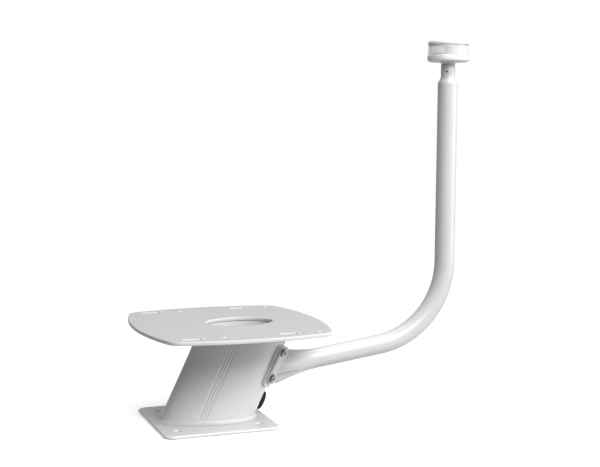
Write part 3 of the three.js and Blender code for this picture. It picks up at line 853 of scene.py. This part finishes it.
# Root and flange are drawn over as one even skin, whose joins are soft like a casting's
def makeArmFoot(facts):
    joint = jointFacts
    root = flaredRoot(facts)
    seat = pillar(flangeInner + facts["rootClear"], joint["flangeLow"] - 2 * overcut,
                  joint["flangeHigh"] + 2 * overcut, 120)
    moved(seat, raked @ Matrix.Translation((columnFacts["x"], 0, 0)))
    flange = saddleShape("flange", joint["flangeLow"], joint["flangeHigh"],
                         joint["flangeThickness"], joint["flangeSpread"], flangeInner,
                         upperEdge=joint["flangeRound"])
    carve(root, [seat])
    carve(root, [scoopCutter(name, sign, facts) for name, sign, _ in boltPlaces])
    reach = flangeOuter + joint["washerReach"]
    for part in (root, flange):
        carve(part, [boltCutter(joint["washerRoom"], seatRadius, reach, sign, height)
                     for _, sign, height in boltPlaces])
    foot = joined("armFoot", [root, flange])
    cast = foot.modifiers.new("cast", "REMESH")
    cast.mode = "VOXEL"
    cast.voxel_size = facts["voxel"] * mm
    even = foot.modifiers.new("even", "SMOOTH")
    even.factor = 0.5
    even.iterations = facts["smoothing"]
    applyAll(foot)
    # The foot wears the arm's darker copy of the white coat, which is painted shade
    finishPiece(foot, "tower", "white_coat", "arm_foot", finish="arm_coat_painted_shade", crease=75)


# Points and directions down the middle of the tube, each with the tube's radius there
def tubeStations(facts):
    radius = facts["tubeRadius"]
    straight = [alongArm @ Vector((along, 0, 0))
                for along in (facts["blendStart"] + 1, facts["rootLength"], 90, 120)]
    direction = Vector((math.cos(armSlope), 0, math.sin(armSlope)))
    stations = [(point, direction, radius) for point in straight]
    bend = facts["bendRadius"]
    centre = Vector((facts["tubeX"] - bend, 0, facts["bendZ"]))
    turns = 48
    for k in range(turns + 1):
        turn = armSlope + (quarter - armSlope) * k / turns
        point = centre + Vector((math.sin(turn), 0, -math.cos(turn))) * bend
        stations.append((point, Vector((math.cos(turn), 0, math.sin(turn))), radius))
    upward = Vector((0, 0, 1))
    neck = facts["neckRadius"]
    for z in (*facts["ringHeights"], facts["swageLow"] - 2):
        stations.append((Vector((facts["tubeX"], 0, z)), upward, radius))
    drops = 16
    for k in range(drops + 1):
        t = k / drops
        size = radius + (neck - radius) * eased(t)
        z = facts["swageLow"] - 0.5 + (facts["swageHigh"] - facts["swageLow"] + 1) * t
        stations.append((Vector((facts["tubeX"], 0, z)), upward, size))
    top = facts["neckTop"]
    for z, size in ((535, neck), (top - 0.5, neck), (top, neck - 0.5)):
        stations.append((Vector((facts["tubeX"], 0, z)), upward, size))
    return stations


def makeArmTube(facts, count=72):
    rings = []
    for point, direction, radius in tubeStations(facts):
        over = Vector((-direction.z, 0, direction.x))
        rings.append([tuple(point + over * radius * math.cos(fullTurn * k / count)
                            + Vector((0, 1, 0)) * radius * math.sin(fullTurn * k / count))
                      for k in range(count)])
    tube = loft("armTube", rings)
    hole = pillar(facts["screwHole"], facts["neckRadius"] - facts["screwSink"],
                  facts["neckRadius"] + 4, 32)
    moved(hole, zToX)
    turn = Matrix.Rotation(math.radians(facts["screwAngle"]), 4, "Z")
    moved(hole, Matrix.Translation((facts["tubeX"], 0, facts["screwHeight"])) @ turn)
    carve(tube, [hole])
    # The tube wears the arm's darker copy of the white coat, which is painted shade
    finishPiece(tube, "tower", "white_coat", "arm_tube", finish="arm_coat_painted_shade", crease=50)


# ---- bolts and washers ----

boltFacts = {"shank": 2.9, "head": 5.25, "headHeight": 3.4, "headRim": 0.9, "socket": 2.0,
             "socketDepth": 2, "socketLand": 1.1, "washerRadius": 6, "washerThickness": 1.6,
             "tip": 36}


# The distance from a hexagon's middle to its outline, in the direction of one angle
def hexRadius(turn, across):
    sixth = fullTurn / 6
    return across / math.cos((turn % sixth) - sixth / 2)


def makeBolt(label, sign, height, facts):
    gap = jointFacts["gap"]
    under = seatRadius + gap + facts["washerThickness"] + gap
    top = under + facts["headHeight"]
    head = facts["head"]
    rise = facts["headHeight"] - facts["headRim"]
    crown = [(head * math.cos(quarter * k / 9), top - rise + rise * math.sin(quarter * k / 9))
             for k in range(10)]
    crown = [(radius, z) for radius, z in crown
             if radius > facts["socket"] + facts["socketLand"]]
    profile = [(facts["shank"] - 0.6, facts["tip"]), (facts["shank"], facts["tip"] + 0.8),
               (facts["shank"], under), (head - 0.3, under), (head, under + 0.3)] + crown
    facets = 72
    rings = []
    for radius, z in profile:
        rings.append([(radius * math.cos(fullTurn * k / facets),
                       radius * math.sin(fullTurn * k / facets), z) for k in range(facets)])
    rim = crown[-1][1]
    floor = top - facts["socketDepth"]
    for grow, z in ((0.35, rim + 0.12), (0.0, rim - 0.1), (0.0, floor)):
        ring = []
        for k in range(facets):
            turn = fullTurn * k / facets
            radius = hexRadius(turn, facts["socket"]) + grow
            ring.append((radius * math.cos(turn), radius * math.sin(turn), z))
        rings.append(ring)
    bolt = loft("armBolt_" + label, rings)
    moved(bolt, zToX)
    moved(bolt, boltPlace(sign, height))
    finishPiece(bolt, "tower", "stainless", "arm_bolt_" + label, crease=40)


def makeWasher(label, sign, height, facts):
    low = seatRadius + jointFacts["gap"]
    high = low + facts["washerThickness"]
    profile = [(jointFacts["boltHole"], low), (facts["washerRadius"], low),
               (facts["washerRadius"], high), (jointFacts["boltHole"], high)]
    washer = turned("armWasher_" + label, softened(profile, 0.35, closed=True), facets=64,
                    closed=True)
    moved(washer, zToX)
    moved(washer, boltPlace(sign, height))
    finishPiece(washer, "tower", "stainless", "arm_washer_" + label, crease=40)


# ---- cable cover: a domed push-in plug, built as rings from the crown in to the bore ----

coverFacts = {"halfWidth": 11.5, "halfHeight": 15.2, "dome": 7.6, "seat": 49.6,
              "lip": 4.0, "brow": 0.97, "plugLength": 9, "plugGap": 0.4, "plugWall": 1.8}


def makeCableCover(facts, count=80):
    column = columnFacts
    nose = facts["seat"]

    def ringAt(halfWidth, halfHeight, rise=None, flatX=None):
        ring = []
        for k in range(count):
            turn = fullTurn * k / count
            y, z = halfWidth * math.cos(turn), halfHeight * math.sin(turn)
            x = flatX if rise is None else math.sqrt(nose ** 2 - y ** 2) + rise
            ring.append((column["x"] + x, y, column["portHeight"] + z))
        return ring

    wide, tall = facts["halfWidth"], facts["halfHeight"]
    plugWide = column["portHalfWidth"] - facts["plugGap"]
    plugTall = column["portHalfHeight"] - facts["plugGap"]
    inner = column["noseRadius"] - facts["plugLength"]
    wall = facts["plugWall"]
    steps = 14
    rings = []
    for k in range(1, steps + 1):
        share = math.sin(quarter * k / steps)
        lift = facts["lip"] + (facts["dome"] - facts["lip"]) * math.cos(quarter * k / steps)
        share *= facts["brow"]
        rings.append(ringAt(wide * share, tall * share, rise=lift))
    rings.append(ringAt(wide, tall, rise=facts["lip"] * 0.6))
    rings.append(ringAt(wide, tall, rise=0.25))
    rings.append(ringAt(wide * 0.985, tall * 0.985, rise=0))
    rings.append(ringAt(plugWide + 0.4, plugTall + 0.4, rise=0))
    rings.append(ringAt(plugWide, plugTall, rise=-0.5))
    rings.append(ringAt(plugWide, plugTall, flatX=inner + 0.8))
    rings.append(ringAt(plugWide - 0.6, plugTall - 0.6, flatX=inner))
    rings.append(ringAt(plugWide - wall, plugTall - wall, flatX=inner))
    rings.append(ringAt(plugWide - wall, plugTall - wall, flatX=nose - 3))
    cover = moved(loft("cableCover", rings), raked)
    finishPiece(cover, "cover", "black_rubber", "cable_cover", crease=45)


# ---- all-round light ----

lampFacts = {"collarLow": 549.9, "baseLow": 552, "lensLow": 563.4, "lensHigh": 579.1,
             "capLow": 579.6, "capHigh": 587, "gap": 0.3, "boreRadius": 8.8, "ringRadius": 33.4,
             "ringRound": 4.5, "lensRadius": 32.7, "lensWall": 2.4, "sealInset": 0.7,
             "capRadius": 32.8, "ribs": 6, "boardTop": 565.8}
lampCentre = (armFacts["tubeX"], 0)


# A dish with a rounded underside and a hollow for the heat sink
def makeLampBase(facts):
    low, top = facts["baseLow"], facts["lensLow"] - facts["gap"]
    ring, bend = facts["ringRadius"], facts["ringRound"]
    bore = facts["boreRadius"]
    rounding = [(ring - bend + bend * math.sin(quarter * k / 8),
                 low + 0.7 + bend * (1 - math.cos(quarter * k / 8))) for k in range(9)]
    profile = [(bore, low), (18, low), *rounding, (ring, top - 1.2), (ring - 0.6, top),
               (29.6, top), (29.6, low + 5.4), (26, low + 3.4), (bore, low + 3.4)]
    profile = softened(profile, 0.25, closed=True, steps=2)
    base = turned("lampBase", profile, lampCentre, 120, True)
    finishPiece(base, "tower", "white_plastic", "lamp_base")


def makeLampCollar(facts):
    low, high = facts["collarLow"], facts["baseLow"] - facts["gap"]
    profile = [(9.3, low), (armFacts["neckRadius"] + 0.2, low), (12.9, high), (9.3, high)]
    collar = turned("lampCollar", softened(profile, 0.3, closed=True), lampCentre, 72, True)
    finishPiece(collar, "tower", "white_plastic", "lamp_collar")


# A clear ring, smooth outside and ribbed inside
def makeLampLens(facts):
    outer = facts["lensRadius"]
    inner = outer - facts["lensWall"]
    low, high = facts["lensLow"], facts["lensHigh"]
    profile = [(inner, low), (outer, low), (outer, high), (inner, high)]
    profile = softened(profile, 0.5, closed=True, steps=3)
    pitch = (high - low - 3) / facts["ribs"]
    for k in range(facts["ribs"]):
        z = high - 1.5 - pitch * k
        profile += [(inner, z), (inner + 0.9, z - pitch * 0.35), (inner + 0.35, z - pitch * 0.8)]
    lens = turned("lampLens", profile, lampCentre, 120, True)
    finishPiece(lens, "tower", "clear_lens", "lamp_lens", crease=28)


def makeLampSeal(facts):
    low, high = facts["lensHigh"] + 0.15, facts["capLow"] - 0.15
    inner, outer = 29, facts["lensRadius"] - facts["sealInset"]
    profile = [(inner, low), (outer, low), (outer, high), (inner, high)]
    seal = turned("lampCapSeal", softened(profile, 0.25, closed=True), lampCentre, 96, True)
    finishPiece(seal, "tower", "black_rubber", "lamp_cap_seal")


# A shallow lid with a rounded shoulder and a slightly crowned top
def makeLampCap(facts):
    cap, low, high = facts["capRadius"], facts["capLow"], facts["capHigh"]
    shoulder = [(cap - 1.8 - 6 * k / 4, low + 5.9 + 0.6 * math.sin(quarter * k / 4))
                for k in range(5)]
    profile = [(27.6, low + 2.6), (28.4, low), (cap, low), (cap, low + 3.4),
               (cap - 0.5, low + 4.9), *shoulder, (cap - 14, high - 0.3),
               (cap - 22, high - 0.06), (4, high)]
    roof = turned("lampCap", softened(profile, 1.0, steps=5), lampCentre, 120)
    finishPiece(roof, "tower", "cap_plastic", "lamp_cap", crease=40)


# The spool throws the light outwards, so it flares towards the cap
def makeLampSpool(facts):
    low, high = facts["boardTop"] + facts["gap"], facts["capLow"] + 2.3
    steps = 16
    flare = [(5.5 + 7.5 * (k / steps) ** 2.4, low + 1 + (high - low - 2.2) * k / steps)
             for k in range(steps + 1)]
    profile = [(4.9, low), (5.5, low + 0.5), *flare, (13, high)]
    spool = turned("lampSpool", profile, lampCentre, 72)
    finishPiece(spool, "tower", "reflector", "lamp_spool", crease=50)


# ---- floor ----

# Radii and level in millimetres, and the fade's distances in metres
floorFacts = {"radii": (150, 300, 450, 600, 800, 1000), "level": -0.4, "facets": 96,
              "glow": 0.45, "fadeFrom": 0.42, "fadeTo": 0.9}


# A pale disc that turns clear towards its rim, so that it runs into the white studio
def makeFloor(facts):
    material, tree, shader = newFinish("paleFloor")
    haze = grain(tree, 3, 3)
    fleck = grain(tree, 160, 2)
    shade = tones(tree, haze.outputs[0], [(0.3, (0.90, 0.90, 0.905)), (0.7, (0.94, 0.94, 0.94))])
    dress(tree, shader, shade, fleck, (0.6, 0.75))
    shader.inputs["Emission Color"].default_value = (1, 1, 1, 1)
    place = tree.nodes.new("ShaderNodeTexCoord")
    reach = tree.nodes.new("ShaderNodeVectorMath")
    reach.operation = "LENGTH"
    tree.links.new(place.outputs["Object"], reach.inputs[0])
    fade = spread(tree, reach.outputs["Value"], 1, 0, facts["fadeFrom"], facts["fadeTo"])
    tree.links.new(fade, shader.inputs["Alpha"])
    shader.inputs["Emission Strength"].default_value = facts["glow"]
    count, level = facts["facets"], facts["level"]
    points = [(0, 0, level)]
    points += [(radius * math.cos(fullTurn * k / count), radius * math.sin(fullTurn * k / count),
                level) for radius in facts["radii"] for k in range(count)]
    faces = [(0, 1 + k, 1 + (k + 1) % count) for k in range(count)]
    for step in range(len(facts["radii"]) - 1):
        a, b = 1 + step * count, 1 + (step + 1) * count
        faces += [(a + k, b + k, b + (k + 1) % count, a + (k + 1) % count) for k in range(count)]
    floor = makeObject("paleFloor", points, faces)
    floor.data.shade_smooth()
    floor.data.materials.append(material)
    floor.visible_diffuse = False


# ---- putting it together ----

makeCamera(cameraFacts)
makeLights()
makeWorld(skyFacts)
makeFloor(floorFacts)
makeCard(cardFacts)
stage.view_settings.view_transform = "Standard"
print("camera, lights and floor made")

dressNodes()
makeBasePlate(baseFacts)
makeTopPlate(plateFacts)
makeColumn(columnFacts)
makeWeld("footWeld", "foot_weld", cadSpan("foot_weld")[0].z, 1, weldFacts)
makeWeld("headWeld", "head_weld", cadSpan("head_weld")[1].z, -1, weldFacts)
print("plates, column and welds made")

makeSaddlePad(jointFacts)
makeArmFoot(armFacts)
makeArmTube(armFacts)
for label, sign, height in boltPlaces:
    makeBolt(label, sign, height, boltFacts)
    makeWasher(label, sign, height, boltFacts)
print("saddle joint, arm and bolts made")

makeCableCover(coverFacts)
makeLampBase(lampFacts)
makeLampCollar(lampFacts)
makeLampLens(lampFacts)
makeLampSeal(lampFacts)
makeLampCap(lampFacts)
makeLampSpool(lampFacts)
print("cable cover and light made")
